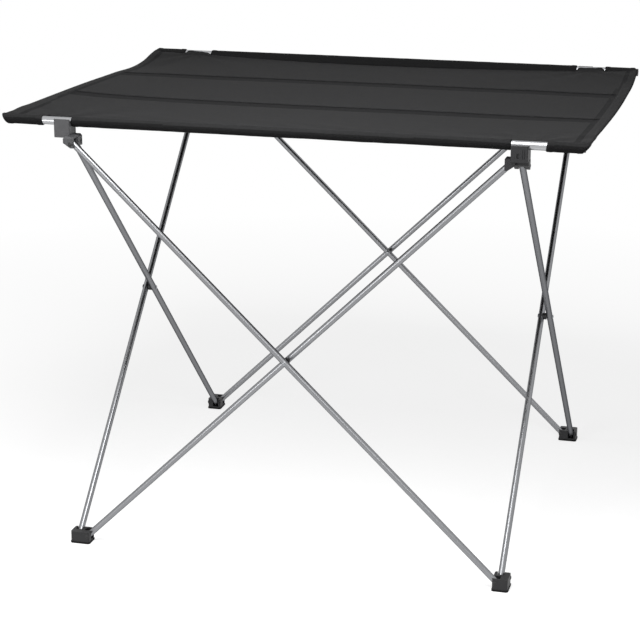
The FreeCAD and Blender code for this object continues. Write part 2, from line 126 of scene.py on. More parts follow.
# How far the end of a sleeve reaches past its place at the top of the rod, and stops short below it.
SLEEVE_REACH = {-1: (6.5 * MM, 6.0 * MM), 1: (-2.0 * MM, -4.0 * MM)}
SLEEVE_CUT = {-1: (0.5 * MM, 3.0 * MM), 1: (2.0 * MM, 4.0 * MM)}
SEAM_DIP_FRONT = 0.8 * MM     # the seams turn down round the rods this much in the middle
SEAM_DIP_REAR = 3.4 * MM
SEAM_LIFT = 5.6 * MM          # and up towards the rod ends
SEAM_REACH = 30 * MM          # the sheet follows a seam over about this distance
SLAT_DIP = 1.2 * MM           # the sheet is drawn down over the slat channels
SLAT_BAND = 14.5 * MM         # half width of a channel between its stitch rows
DIP_SLOPE = (SLAT_BAND + 1.6 * MM, SLAT_BAND - 1.4 * MM)
BAND_FADE = 4 * MM            # the dip of a channel runs out over this length at its ends
HEM_LIFT = 0.35 * MM          # the hem's fold lifts the sheet
HEM_SLOPE = 1.5 * MM
TAB_LIFT = {-1: 2.6 * MM, 1: 3.1 * MM}   # the sheet rises beside the bare rod in the cut-outs
TAB_RISE = (SEAM_Y - 9 * MM, SEAM_Y + 3 * MM)
TAB_SLOPE = 7 * MM            # slanted sides of a tab
# Grooves that the thread pulls in: depth and half width.
HEM_GROOVE = (0.55 * MM, 1.1 * MM)
SEAM_GROOVE = (0.45 * MM, 1.3 * MM)
# Puckers beside the rows of stitches: height, length along the row, and reach to its sides.
BAND_PUCKER = (0.30 * MM, 11 * MM, 6 * MM)
HEM_PUCKER = (0.25 * MM, 14 * MM, 7 * MM)
SEAM_PUCKER = (0.35 * MM, 16 * MM, 16 * MM)
# Slow waves of the whole sheet: height, length, and the distance from a seam where they are full.
WAVES = (0.55 * MM, 150 * MM, 40 * MM)
# Slack pulls that run slantwise in from the front sleeve: height, length, middle and spread from the seam.
PULLS = (0.7 * MM, 20 * MM, 30 * MM, 35 * MM)
PULL_STRETCH = (0.4, 1.2, 0.45)   # how they are drawn out along x, across it, and their slant
PULL_FADE = 12 * MM
# Shallow folds that fan out of the cut-outs: height, how fast they die away, count, and how far they go.
FAN = (0.9 * MM, 70 * MM, 9, 220 * MM)
FAN_START = (2 * MM, 18 * MM)


def lifted_height(x):
    """Height of the sheet over the rods before it turns down to a seam: it rises towards the rod ends."""
    return SHEET_Z + SEAM_LIFT * min(1.0, abs(x) / TOP_HALF) ** LIFT_POWER


def seam_height(x, y):
    """Height of the seam that closes a sleeve: lowest in the middle of the rod."""
    dip = SEAM_DIP_REAR if y > 0 else SEAM_DIP_FRONT
    return lifted_height(x) - dip * math.cos(min(1.0, abs(x) / TOP_HALF) * math.pi / 2) ** 2


def slack_height(x, y):
    """Lie of the sheet without its seams: drawn tight over the rods, slack towards the side edges."""
    side = int(x > 0)
    share = abs(x) / TOP_HALF
    back = max(-1.0, min(1.0, y / SEAM_Y))
    near = math.exp(-(1 - abs(back)) * SEAM_Y / SEAM_REACH)
    z = lifted_height(x) * (1 - near) + seam_height(x, y) * near
    edge_sag = EDGE_SAG[side] * math.exp(EDGE_SKEW[side] * back)
    z -= (SAG_MIDDLE + (edge_sag - SAG_MIDDLE) * share ** SAG_POWER) * (1 - back ** 2)
    bay = (y - max(SLAT_YS)) / (SEAM_Y - max(SLAT_YS))
    bay_sag = EDGE_BAY[side] * share ** BAY_POWER
    return z - bay_sag * math.sin(math.pi * min(1.0, max(0.0, bay))) ** 2


def sheet_height(x, y):
    """Middle of the sheet's thickness."""
    z = slack_height(x, y)
    for slat_y in SLAT_YS:
        off = abs(y - slat_y)
        end = smooth_step(abs(x), BAND_HALF, BAND_HALF - BAND_FADE)
        z -= SLAT_DIP * end * smooth_step(off, *DIP_SLOPE)
        height, length, reach = BAND_PUCKER
        z += end * (height * ripple(x, slat_y, length, SEEDS["band"]) * bump(off, SLAT_BAND, reach))
    z += HEM_LIFT * smooth_step(abs(x), HEM_INNER, HEM_INNER + HEM_SLOPE)
    depth, half_width = HEM_GROOVE
    z -= depth * bump(abs(x), TOP_HALF - HEM_STITCH, half_width)
    height, length, reach = HEM_PUCKER
    z += height * ripple(y, x, length, SEEDS["hem"]) * bump(abs(x), TOP_HALF - HEM_STITCH, reach)
    near_seam = max(0.0, SEAM_Y - abs(y))
    depth, half_width = SEAM_GROOVE
    z -= depth * bump(near_seam, SEAM_STITCH, half_width)
    height, length, reach = SEAM_PUCKER
    z += height * ripple(x, y, length, SEEDS["seam"]) * math.exp(-near_seam / reach)
    height, length, reach = WAVES
    z += height * ripple(x, y, length, SEEDS["sheet"]) * min(1.0, near_seam / reach)
    height, length, middle, spread = PULLS
    along, across, slant = PULL_STRETCH
    pull = ripple(x * along, y * across + x * slant, length, SEEDS["pull"])
    z += height * pull * bump(y, -SEAM_Y + middle, spread) * smooth_step(near_seam, 0.0, PULL_FADE)
    z += TAB_LIFT[1 if y > 0 else -1] * cut_out_share(x) * smooth_step(abs(y), *TAB_RISE)
    return z + wrinkles(x, y)


def cut_out_share(x):
    """1 in the middle of a cut-out, 0 outside it."""
    middle, half = (NOTCH_START + NOTCH_END) / 2, (NOTCH_END - NOTCH_START) / 2
    return smooth_step(abs(abs(x) - middle), half, half - TAB_SLOPE)


def wrinkles(x, y):
    """Shallow pulls that fan out of the four cut-outs, where the hubs hold the rods apart."""
    height, decay, count, limit = FAN
    total = 0.0
    for side_x in (-1, 1):
        for side_y in (-1, 1):
            dx = x - side_x * (NOTCH_START + NOTCH_END) / 2
            dy = y - side_y * SEAM_Y
            reach = math.hypot(dx, dy)
            if reach > limit:
                continue
            angle = math.atan2(-side_y * dy, -side_x * dx)
            fade = math.exp(-reach / decay) * smooth_step(reach, *FAN_START)
            total += height * fade * math.sin(angle * count + side_x + 2 * side_y)
    return total


def cloth_edge(x, y):
    """Sideways place of a point of the sheet, bellied out near the free edges."""
    side = int(x > 0)
    back = max(-1.0, min(1.0, y / SEAM_Y))
    out = EDGE_BELLY[side] * (1 - back ** 2) + EDGE_CORNER[side] * ((1 - back) / 2) ** CORNER_POWER
    return x + math.copysign(out * (abs(x) / TOP_HALF) ** BELLY_POWER, x)


# ---- Mesh helpers ----

def grid_values(marks, step):
    """Rising values through the marks, at most step apart."""
    values = [marks[0]]
    for start, end in zip(marks, marks[1:]):
        count = max(1, math.ceil((end - start) / step - 1e-6))
        values += [start + (end - start) * k / count for k in range(1, count + 1)]
    return values


def new_piece(name, bm):
    """Object of a finished bmesh, riding on the tabletop."""
    mesh = bpy.data.meshes.new(name)
    bm.to_mesh(mesh)
    bm.free()
    piece = bpy.data.objects.new(name, mesh)
    bpy.context.scene.collection.objects.link(piece)
    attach(piece, TOP_BODY)
    return piece


def add_cloth(bm, columns, rows, place):
    """Adds a grid of cloth to bm. place(column value, row value) gives the point and its flat place."""
    before = set(bm.verts)
    bmesh.ops.create_grid(bm, x_segments=len(columns) - 1, y_segments=len(rows) - 1, size=1.0)
    uv = bm.loops.layers.uv.get("flat_cloth") or bm.loops.layers.uv.new("flat_cloth")
    flat = {}
    for vert in [v for v in bm.verts if v not in before]:
        column = columns[round((vert.co.x + 1) / 2 * (len(columns) - 1))]
        row = rows[round((vert.co.y + 1) / 2 * (len(rows) - 1))]
        vert.co, flat[vert] = place(column, row)
    for face in bm.faces:
        if face.verts[0] in flat:
            face.smooth = True
            for loop in face.loops:
                loop[uv].uv = flat[loop.vert]


def thicken(piece, thickness, offset=0.0):
    """Gives a cloth grid its thickness."""
    wall = piece.modifiers.new("thickness", "SOLIDIFY")
    wall.thickness = thickness
    wall.offset = offset
    wall.use_even_offset = False


# ---- The sheet ----

HEM_LINE = 3 * MM             # half width of the line of painted shade along the hem's inner fold
TAB_START = 8 * MM            # the tabs begin this far inside the seam
BAND_EDGE = 3 * MM            # finer rows beside the stitches of the channels
CLOTH_STEP = 4 * MM
ROW_FINE, ROW_COARSE = 1.6 * MM, 4.5 * MM
WIDE_BAY = 30 * MM            # stretches wider than this take coarse rows


def make_sheet():
    """The sheet between the sleeves, running on to the bare rod in each cut-out."""
    marks = [0.0, NOTCH_START, NOTCH_END, HEM_INNER - HEM_LINE, HEM_INNER, HEM_INNER + HEM_LINE, TOP_HALF]
    columns = grid_values([-m for m in reversed(marks)] + marks[1:], CLOTH_STEP)
    marks = [-SEAM_Y, -SEAM_Y + TAB_START]
    for slat_y in SLAT_YS:
        marks += [slat_y - SLAT_BAND - BAND_EDGE, slat_y - SLAT_BAND,
                  slat_y + SLAT_BAND, slat_y + SLAT_BAND + BAND_EDGE]
    marks += [SEAM_Y - TAB_START, SEAM_Y]
    rows = []
    for start, end in zip(marks, marks[1:]):
        step = ROW_FINE if end - start < WIDE_BAY else ROW_COARSE
        rows += grid_values([start, end], step)[1 if rows else 0:]

    def place(x, y):
        reach = TAB_DEPTH * cut_out_share(x) * smooth_step(abs(y), SEAM_Y - TAB_START, SEAM_Y)
        pulled = y + math.copysign(reach, y)
        return Vector((cloth_edge(x, pulled), pulled, sheet_height(x, pulled))), (x, y)

    bm = bmesh.new()
    add_cloth(bm, columns, rows, place)
    # Painted shade: faces over the slat channels and along the hem's inner fold take the darker cloth, for
    # the shade in these sunken lines.
    for face in bm.faces:
        middle = face.calc_center_median()
        band = min(abs(middle.y - slat_y) for slat_y in SLAT_YS) < SLAT_BAND and abs(middle.x) < BAND_HALF
        hem_fold_shade = abs(abs(middle.x) - HEM_INNER) < HEM_LINE
        face.material_index = 1 if band or hem_fold_shade else 0
    sheet = new_piece("table_cloth", bm)
    thicken(sheet, LAYER)
    return sheet


# ---- Sleeves round the rods ----

ARC_STEPS = 22
STRAIGHT_STEPS = 4            # steps of each straight side, from the seam to the rod
UNDERLAP = 5.5 * MM           # turned allowance of the sleeve under the sheet
SLEEVE_HEM = 7.0 * MM         # hemmed end of each sleeve run
HEM_EASE = 0.8 * MM           # the hem's step runs out over this length to each side
HEM_STEP = 1 * MM             # the mesh has a column this far to each side of it
HEM_THICKER = 0.45 * MM       # the hemmed end stands out by this
END_TURN = 1.2 * MM           # the very end turns in over this length
END_TURNED = 0.5 * MM         # and by this much
SLEEVE_FOLD = 0.18 * MM       # small folds of a sleeve, and how long they are
SLEEVE_FOLD_LENGTH = 13 * MM
FOLD_SLANT = (0.02, 0.01)     # how they run round the rod, in metres for each radian
SLEEVE_SLACK = 0.28 * MM      # slack on the underside, and the length over which it comes and goes
SLEEVE_SLACK_LENGTH = 60 * MM
SLACK_START = 10 * MM         # folds and slack are full this far from an end
SEAM_ROOM = 1.35              # a section turns round at this share of the radius
CUT_OUT_EASE = 1.2 * MM       # a middle run reaches this much into the cut-outs at its ends
# The front left cut-out has crept narrower: the ends of the middle and of the left run come this much closer.
FRONT_CREEP = (0.3 * MM, 2.5 * MM)
SHADE_TOP = 2.6 * MM        # painted shade on the front sleeve's outer side ends this much above the rod's middle


def sleeve_section(x, side_y):
    """Loop of a sleeve at x, as (across towards the table's middle, up) from the rod's middle."""
    across = ROD_Y - SEAM_Y
    up = seam_height(x, side_y) - ROD_Z
    towards = math.atan2(up, across)
    spread = math.acos(SLEEVE_RADIUS / math.hypot(across, up))
    first, last = towards + spread, towards - spread + 2 * math.pi
    points = [(across, up)]
    start = (SLEEVE_RADIUS * math.cos(first), SLEEVE_RADIUS * math.sin(first))
    points += [(across + (start[0] - across) * k / STRAIGHT_STEPS,
                up + (start[1] - up) * k / STRAIGHT_STEPS) for k in range(1, STRAIGHT_STEPS)]
    for k in range(ARC_STEPS + 1):
        angle = first + (last - first) * k / ARC_STEPS
        points.append((SLEEVE_RADIUS * math.cos(angle), SLEEVE_RADIUS * math.sin(angle)))
    under = up - LAYER * SLEEVE_UNDER
    end = points[-1]
    points += [(end[0] + (across - end[0]) * k / STRAIGHT_STEPS,
                end[1] + (under - end[1]) * k / STRAIGHT_STEPS) for k in range(1, STRAIGHT_STEPS + 1)]
    points += [(across + UNDERLAP / 2, under), (across + UNDERLAP, under)]
    return points


def sleeve_point(side_y, x, row, run_start, run_end):
    """Point of a sleeve, with its hemmed ends, slack and small folds."""
    section = sleeve_section(x, side_y)
    across, up = section[row]
    wide = math.hypot(across, up)
    round_share = smooth_step(wide, SLEEVE_RADIUS * SEAM_ROOM, SLEEVE_RADIUS)
    end = min(x - run_start, run_end - x)
    hem = HEM_THICKER * smooth_step(end, SLEEVE_HEM + HEM_EASE, SLEEVE_HEM - HEM_EASE)
    turned = -END_TURNED * smooth_step(end, END_TURN, 0.0)
    angle = math.atan2(up, across)
    fold = SLEEVE_FOLD * ripple(x + FOLD_SLANT[0] * angle, FOLD_SLANT[1] * angle, SLEEVE_FOLD_LENGTH,
                                SEEDS["sleeve"] + side_y)
    below = 0.5 - 0.5 * math.sin(angle)
    slack = SLEEVE_SLACK * below * (1 + ripple(x, 0.0, SLEEVE_SLACK_LENGTH, SEEDS["slack"]))
    grow = (hem + turned + (fold + slack) * smooth_step(end, 0.0, SLACK_START)) * round_share
    scale = 1 + grow / max(wide, 1e-6)
    y = side_y * (ROD_Y - across * scale)
    z = ROD_Z + up * scale
    if row >= len(section) - 2:
        z = sheet_height(x, y) - LAYER * CLOTH_UNDER
    side = int(x > 0)
    high = min(1.0, max(0.0, (up / SLEEVE_RADIUS + 1) / 2))
    seam_share = min(1.0, max(0.0, across / (ROD_Y - SEAM_Y))) ** 2
    free = SLEEVE_REACH[side_y][side] * high - SLEEVE_CUT[side_y][side] * (1 - high)
    free *= (abs(x) / TOP_HALF) ** SLEEVE_POWER * (1 if side else -1)
    return Vector((x + free * (1 - seam_share) + (cloth_edge(x, y) - x) * seam_share, y, z))


def sleeve_runs(side_y):
    """The starts and ends of a sleeve's three runs."""
    inner = NOTCH_START + CUT_OUT_EASE
    middle_creep, left_creep = FRONT_CREEP if side_y < 0 else (0.0, 0.0)
    return (-TOP_HALF, -NOTCH_END + left_creep), (-inner - middle_creep, inner), (NOTCH_END, TOP_HALF)


def make_sleeve(edge, side_y):
    """The sleeve of one rod, in three runs with a cut-out between them at each hub.

    Painted shade: the darker cloth covers the front sleeve's outer side up to a little above the rod's
    middle, and the rear sleeve all over.
    """
    bm = bmesh.new()
    lengths = [0.0]
    section = sleeve_section(0.0, side_y)
    for (a0, u0), (a1, u1) in zip(section, section[1:]):
        lengths.append(lengths[-1] + math.hypot(a1 - a0, u1 - u0))
    for start, end in sleeve_runs(side_y):
        columns = grid_values([start, start + END_TURN, start + SLEEVE_HEM - HEM_STEP,
                               start + SLEEVE_HEM + HEM_STEP, end - SLEEVE_HEM - HEM_STEP,
                               end - SLEEVE_HEM + HEM_STEP, end - END_TURN, end], CLOTH_STEP)

        def place(x, row):
            return sleeve_point(side_y, x, row, start, end), (x, SEAM_Y + lengths[row])

        add_cloth(bm, columns, list(range(len(section))), place)
    # Painted shade: the outer lower part of the front sleeve and the whole rear sleeve take the darker cloth.
    for face in bm.faces:
        middle = face.calc_center_median()
        shaded_face = side_y > 0 or (abs(middle.y) > ROD_Y and middle.z < ROD_Z + SHADE_TOP)
        face.material_index = 1 if shaded_face else 0
    sleeve = new_piece("rod_sleeve_" + edge, bm)
    thicken(sleeve, LAYER)
    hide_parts("sleeve_" + edge)
    return sleeve


# ---- Slats, their channels and the side hems ----

SLAT_TIP = 5 * MM             # length of a slat's rounded end
SLAT_TIP_STEPS = 5
SLAT_TIP_WIDTH = 0.35         # share of the width that is left at the very end
SLAT_END = 0.3 * MM
SLAT_STEP = 12 * MM
SLAT_EASE = 0.35 * MM         # radius of the slats' edges
SLAT_ROOM = 0.2 * MM          # air between a slat and the sheet
CHANNEL_ROOM = 0.5 * MM       # air below a slat in its channel
CHANNEL_SIDE = 0.7 * MM       # and beside it
CHANNEL_FLANGE = 2.5 * MM     # cloth of a channel past its stitch rows
CHANNEL_STRETCH = 1.3         # the channel is this much wider laid out than it lies
CHANNEL_STEP = 5 * MM
# Rows where the cloth turns down beside a slat, from the edge of its flat part, and beside the middle.
CHANNEL_TURN = (-1.6 * MM, -0.9 * MM, -0.5 * MM, 0.4 * MM, 2 * MM)
CHANNEL_MIDDLE = 2 * MM
CHANNEL_WALL = (1.2 * MM, 0.6 * MM)   # its wall slopes from this far outside that edge to this far inside
CHANNEL_HEM = (5 * MM, 4 * MM, 0.3 * MM)        # where its end hem starts and is full, and its rise
CHANNEL_SLACK = (0.35 * MM, 18 * MM)            # its slack, and the length over which that comes and goes
HEM_PAST_SEAM = 1.2 * MM      # a side hem ends this far inside the seams
# The side hem from its inner end round the fold: distance from the table's middle, and depth in layers.
HEM_STRIP = [(HEM_INNER - 0.2 * MM, 1.0), (HEM_INNER + 3 * MM, 1.0), (HEM_INNER + 7 * MM, 1.0),
             (TOP_HALF - 1.2 * MM, 1.0), (TOP_HALF - 0.3 * MM, 0.9), (TOP_HALF + 0.35 * MM, 0.65),
             (TOP_HALF + 0.55 * MM, 0.3), (TOP_HALF + 0.4 * MM, 0.02)]
TAPE_RADIUS = 1.2 * MM        # binding tape of the cut-outs, pressed a little flat
TAPE_FLAT = 0.8


def slat_surface(x, y):
    """Sheet height over a slat without the fine puckers of the seams."""
    return slack_height(x, y) - SLAT_DIP


def make_slat(edge):
    """Flat aluminium slat with rounded ends, bent slightly with the sheet."""
    low, high = SLAT_BOXES[edge]
    middle_y, half_width = (low.y + high.y) / 2, (high.y - low.y) / 2
    thick = high.z - low.z
    columns = grid_values([low.x, low.x + SLAT_END, low.x + SLAT_TIP,
                           high.x - SLAT_TIP, high.x - SLAT_END, high.x], SLAT_STEP)
    tip_steps = [SLAT_TIP * k / SLAT_TIP_STEPS for k in range(1, SLAT_TIP_STEPS)]
    tips = [low.x + step for step in tip_steps] + [high.x - step for step in tip_steps]
    columns = sorted({*columns, *tips})

    def place(x, share):
        from_end = min(x - low.x, high.x - x)
        inside = 1 - min(1.0, from_end / SLAT_TIP)
        width = half_width * max(SLAT_TIP_WIDTH, math.sqrt(max(0.0, 1 - inside ** 2)))
        z = slat_surface(x, middle_y) - LAYER / 2 - SLAT_ROOM - thick / 2
        return Vector((x, middle_y + share * width, z)), (x, share * width)

    bm = bmesh.new()
    add_cloth(bm, columns, [-1.0, -0.5, 0.0, 0.5, 1.0], place)
    slat = new_piece("slat_bar_" + edge, bm)
    thicken(slat, thick)
    edges = slat.modifiers.new("eased_edges", "BEVEL")
    edges.width = SLAT_EASE
    edges.segments = 2
    edges.limit_method = "ANGLE"
    edges.angle_limit = math.radians(50)
    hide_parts("slat_" + edge)
    return slat


def make_channel(edge):
    """Cloth channel sewn under the sheet round a slat."""
    low, high = SLAT_BOXES[edge]
    middle_y, half_width = (low.y + high.y) / 2, (high.y - low.y) / 2
    drop = high.z - low.z + LAYER + CHANNEL_ROOM
    flat_half = half_width + CHANNEL_SIDE
    rows = [-SLAT_BAND - CHANNEL_FLANGE, -SLAT_BAND, *(-flat_half + off for off in CHANNEL_TURN),
            -CHANNEL_MIDDLE]
    rows += [0.0] + [-r for r in reversed(rows)]
    hem_start, hem_full, hem_rise = CHANNEL_HEM
    slack_size, slack_length = CHANNEL_SLACK

    def place(x, off):
        hollow = smooth_step(abs(off), flat_half + CHANNEL_WALL[0], flat_half - CHANNEL_WALL[1])
        end = min(x + POCKET_HALF, POCKET_HALF - x)
        slack = slack_size * ripple(x, off, slack_length, SEEDS["channel"])
        y = middle_y + off
        z = sheet_height(x, y) - LAYER * CLOTH_UNDER
        z = z * (1 - hollow) + (slat_surface(x, middle_y) - LAYER - drop + slack) * hollow
        z += hem_rise * smooth_step(end, hem_start, hem_full) * hollow
        return Vector((x, y, z)), (x, middle_y + off * CHANNEL_STRETCH)

    bm = bmesh.new()
    columns = grid_values([-POCKET_HALF, -POCKET_HALF + hem_start, POCKET_HALF - hem_start, POCKET_HALF],
                          CHANNEL_STEP)
    add_cloth(bm, columns, rows, place)
    channel = new_piece("slat_channel_" + edge, bm)
    thicken(channel, LAYER * CHANNEL_LAYER)
    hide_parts("slat_pocket_" + edge)
    return channel


def make_side_hem(edge, side_x):
    """The cloth turned under each short edge: a fold at the edge and a flat strip below the sheet."""
    reach = SEAM_Y - HEM_PAST_SEAM

    def place(y, row):
        out, depth = HEM_STRIP[row]
        x = side_x * out
        z = sheet_height(side_x * min(out, TOP_HALF), y) - depth * LAYER * HEM_UNDER
        return Vector((cloth_edge(x, y), y, z)), (out, y)

    bm = bmesh.new()
    rows = grid_values([-reach, reach], CLOTH_STEP)
    add_cloth(bm, rows, list(range(len(HEM_STRIP))), place)
    bmesh.ops.recalc_face_normals(bm, faces=bm.faces)
    hem = new_piece("side_hem_" + edge, bm)
    thicken(hem, LAYER)
    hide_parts("hem_" + edge)
    return hem


def make_binding(name, side_x, side_y):
    """Tape bound over the cloth's edge across a cut-out."""
    seam = ROD_Y - SEAM_Y
    edge = seam - TAB_DEPTH
    # Out of the seam, up one slanted side of the tab, along its edge and back down the other side.
    path = [(NOTCH_START - 1.5 * MM, seam + 1.0 * MM), (NOTCH_START + 1.5 * MM, seam - 0.5 * MM),
            (NOTCH_START + 6 * MM, edge), (NOTCH_START + 14 * MM, edge), (NOTCH_END - 14 * MM, edge),
            (NOTCH_END - 6 * MM, edge), (NOTCH_END - 1.5 * MM, seam - 0.5 * MM),
            (NOTCH_END + 1.5 * MM, seam + 1.0 * MM)]
    curve = bpy.data.curves.new(name, "CURVE")
    curve.dimensions = "3D"
    curve.bevel_depth = TAPE_RADIUS
    curve.bevel_resolution = 3
    curve.resolution_u = 6
    curve.use_fill_caps = True
    spline = curve.splines.new("NURBS")
    spline.points.add(len(path) - 1)
    for point, (along, across) in zip(spline.points, path):
        point.co = (side_x * along, side_y * (ROD_Y - across), 0.0, 1.0)
    spline.order_u = 3
    spline.use_endpoint_u = True
    made = bpy.data.objects.new(name + "_path", curve)
    bpy.context.scene.collection.objects.link(made)
    bpy.context.view_layer.update()
    mesh = bpy.data.meshes.new_from_object(made.evaluated_get(bpy.context.evaluated_depsgraph_get()))
    bpy.data.objects.remove(made)
    bm = bmesh.new()
    bm.from_mesh(mesh)
    bpy.data.meshes.remove(mesh)
    for vert in bm.verts:
        x, y, height = vert.co
        vert.co.z = sheet_height(x, y) + TAPE_FLAT * height
    bmesh.ops.remove_doubles(bm, verts=bm.verts, dist=1e-6)
    bmesh.ops.recalc_face_normals(bm, faces=bm.faces)
    uv = bm.loops.layers.uv.new("flat_cloth")
    for face in bm.faces:
        face.smooth = True
        for loop in face.loops:
            loop[uv].uv = (loop.vert.co.x, loop.vert.co.y + loop.vert.co.z)
    return new_piece(name, bm)


# ---- Stitching ----

STITCH_LIFT = LAYER / 2 + 0.10 * MM   # middle of a thread over the middle of the sheet
ROW_STEP = 6 * MM                     # distance between the points that a row follows
RUN_MARGIN = 2 * MM                   # the rows stop this far from the ends of a sleeve's run
HEM_MARGIN = 5 * MM                   # and from the seams on the side hems
BAND_STITCH = 0.6 * MM                # rows of the channels, outside the band of painted shade


def add_stitches(bm, points):
    """A row of stitches along points, each one a small thread that dips into the cloth at its ends."""
    distance = [0.0]
    for first, second in zip(points, points[1:]):
        distance.append(distance[-1] + (second - first).length)
    count = int(distance[-1] / STITCH_PITCH)
    xs, ys, zs = ([p[k] for p in points] for k in range(3))
    for number in range(count):
        middle = (number + 0.5) * STITCH_PITCH
        ends = [Vector([float(np.interp(d, distance, c)) for c in (xs, ys, zs)])
                for d in (middle - STITCH_PITCH / 2, middle + STITCH_PITCH / 2)]
        along = (ends[1] - ends[0]).normalized()
        side = Vector((0, 0, 1)).cross(along).normalized()
        up = along.cross(side)
        turn = Matrix((along, side, up)).transposed().to_4x4()
        size = Matrix.Diagonal((STITCH_LENGTH / 2, STITCH_WIDTH / 2, STITCH_HEIGHT / 2, 1))
        place = Matrix.Translation((ends[0] + ends[1]) / 2)
        bmesh.ops.create_icosphere(bm, subdivisions=1, radius=1.0, matrix=place @ turn @ size)


def stitched(x, y):
    """Place of a thread on the sheet."""
    return Vector((cloth_edge(x, y), y, sheet_height(x, y) + STITCH_LIFT))


def make_stitching():
    """All rows of stitches on the upper face of the top."""
    bm = bmesh.new()
    for side in (-1, 1):
        y = side * (SEAM_Y - SEAM_STITCH)
        for start, end in ((-TOP_HALF, -NOTCH_END), (-NOTCH_START, NOTCH_START), (NOTCH_END, TOP_HALF)):
            xs = grid_values([start + RUN_MARGIN, end - RUN_MARGIN], ROW_STEP)
            add_stitches(bm, [stitched(x, y) for x in xs])
        x = side * (TOP_HALF - HEM_STITCH)
        ys = grid_values([-SEAM_Y + HEM_MARGIN, SEAM_Y - HEM_MARGIN], ROW_STEP)
        add_stitches(bm, [stitched(x, y) for y in ys])
        for slat_y in SLAT_YS:
            y = slat_y + side * (SLAT_BAND + BAND_STITCH)
            xs = grid_values([-BAND_HALF, BAND_HALF], ROW_STEP)
            add_stitches(bm, [stitched(x, y) for x in xs])
    for face in bm.faces:
        face.smooth = True
    return new_piece("stitching", bm)


sheet = make_sheet()
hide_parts("top_fabric")
sleeves = [make_sleeve(edge, side_y) for edge, side_y in (("front", -1), ("rear", 1))]
slats = [make_slat(edge) for edge in ("front", "rear")]
channels = [make_channel(edge) for edge in ("front", "rear")]
hems = [make_side_hem(edge, side_x) for edge, side_x in (("left", -1), ("right", 1))]
bindings = [make_binding("cutout_binding_" + edge + "_" + side, side_x, side_y)
            for edge, side_y in (("front", -1), ("rear", 1))
            for side, side_x in (("left", -1), ("right", 1))]
stitching = make_stitching()


# ---- Finishes ----

def linear(hex_colour):
    """sRGB hex colour as linear RGBA."""
    levels = [int(hex_colour[k:k + 2], 16) / 255 for k in (1, 3, 5)]
    return [c / 12.92 if c <= 0.04045 else ((c + 0.055) / 1.055) ** 2.4 for c in levels] + [1.0]


def per(size):
    """Repeats in a metre of a pattern of this size in millimetres."""
    return 1000 / size


def add(tree, kind, inputs=None, **settings):
    """Adds a node with its settings, constants and links."""
    made = tree.nodes.new(kind)
    for key, value in settings.items():
        setattr(made, key, value)
    for socket, value in (inputs or {}).items():
        if isinstance(value, bpy.types.NodeSocket):
            tree.links.new(value, made.inputs[socket])
        else:
            made.inputs[socket].default_value = value
    return made


def new_finish(name):
    """Empty material and its node tree."""
    material = bpy.data.materials.new(name)
    material.use_nodes = True
    material.node_tree.nodes.clear()
    return material, material.node_tree


def close(tree, inputs):
    """Principled shader with these inputs, on the material's output."""
    shader = add(tree, "ShaderNodeBsdfPrincipled", inputs)
    add(tree, "ShaderNodeOutputMaterial", {"Surface": shader.outputs[0]})


def drawn_aluminium(name, dark, light, turn, rough):
    """Drawn aluminium tube, satin anodised: a soft grey metal with fine lines along the draw."""
    material, tree = new_finish(name)
    place = add(tree, "ShaderNodeTexCoord").outputs["Object"]
    along = add(tree, "ShaderNodeMapping", {"Vector": place, "Rotation": turn}).outputs[0]
    # Draw lines are about 0.6 mm apart and 60 mm long.
    stretched = add(tree, "ShaderNodeMapping", {"Vector": along, "Scale": (per(60), per(0.6), per(0.6))})
    lines = add(tree, "ShaderNodeTexNoise", {"Vector": stretched.outputs[0], "Scale": 1.0, "Detail": 2.0})
    # Handling marks, a few centimetres apart, vary the shine.
    marks = add(tree, "ShaderNodeTexNoise", {"Vector": place, "Scale": per(35), "Detail": 4.0,
                                             "Roughness": 0.6})
    tint = add(tree, "ShaderNodeMixRGB", {"Fac": lines.outputs[0], "Color1": linear(dark),
                                          "Color2": linear(light)})
    worn = add(tree, "ShaderNodeMapRange", {"Value": marks.outputs[0], "From Min": 0.3, "From Max": 0.7,
                                            "To Min": rough - 0.05, "To Max": rough + 0.07})
    relief = add(tree, "ShaderNodeBump", {"Height": lines.outputs[0], "Strength": 0.01, "Distance": 0.0001})
    # The oxide layer dulls the edge-on shine.
    close(tree, {"Base Color": tint.outputs[0], "Metallic": 1.0, "Roughness": worn.outputs[0],
                 "Specular Tint": linear("#6a6a6b"), "Normal": relief.outputs[0]})
    return material


def zinc_plated_steel():
    """Zinc-plated steel rivet: a cool grey metal, faintly mottled by the plating, in 2 mm spots."""
    material, tree = new_finish("zinc_plated_steel")
    place = add(tree, "ShaderNodeTexCoord").outputs["Object"]
    mottle = add(tree, "ShaderNodeTexNoise", {"Vector": place, "Scale": per(2), "Detail": 3.0})
    tint = add(tree, "ShaderNodeMixRGB", {"Fac": mottle.outputs[0], "Color1": linear("#77797c"),
                                          "Color2": linear("#a7a9ac")})
    rough = add(tree, "ShaderNodeMapRange", {"Value": mottle.outputs[0], "To Min": 0.25, "To Max": 0.42})
    close(tree, {"Base Color": tint.outputs[0], "Metallic": 1.0, "Roughness": rough.outputs[0]})
    return material


def black_steel():
    """Steel pin in black electrocoat: dark and satin, worn to grey in a few small spots."""
    material, tree = new_finish("black_coated_steel")
    place = add(tree, "ShaderNodeTexCoord").outputs["Object"]
    wear = add(tree, "ShaderNodeTexNoise", {"Vector": place, "Scale": per(1.5), "Detail": 4.0})
    bare = add(tree, "ShaderNodeMapRange", {"Value": wear.outputs[0], "From Min": 0.62, "From Max": 0.75})
    tint = add(tree, "ShaderNodeMixRGB", {"Fac": bare.outputs[0], "Color1": linear("#29292a"),
                                          "Color2": linear("#4c4d4f")})
    close(tree, {"Base Color": tint.outputs[0], "Roughness": 0.42, "Specular IOR Level": 0.4})
    return material


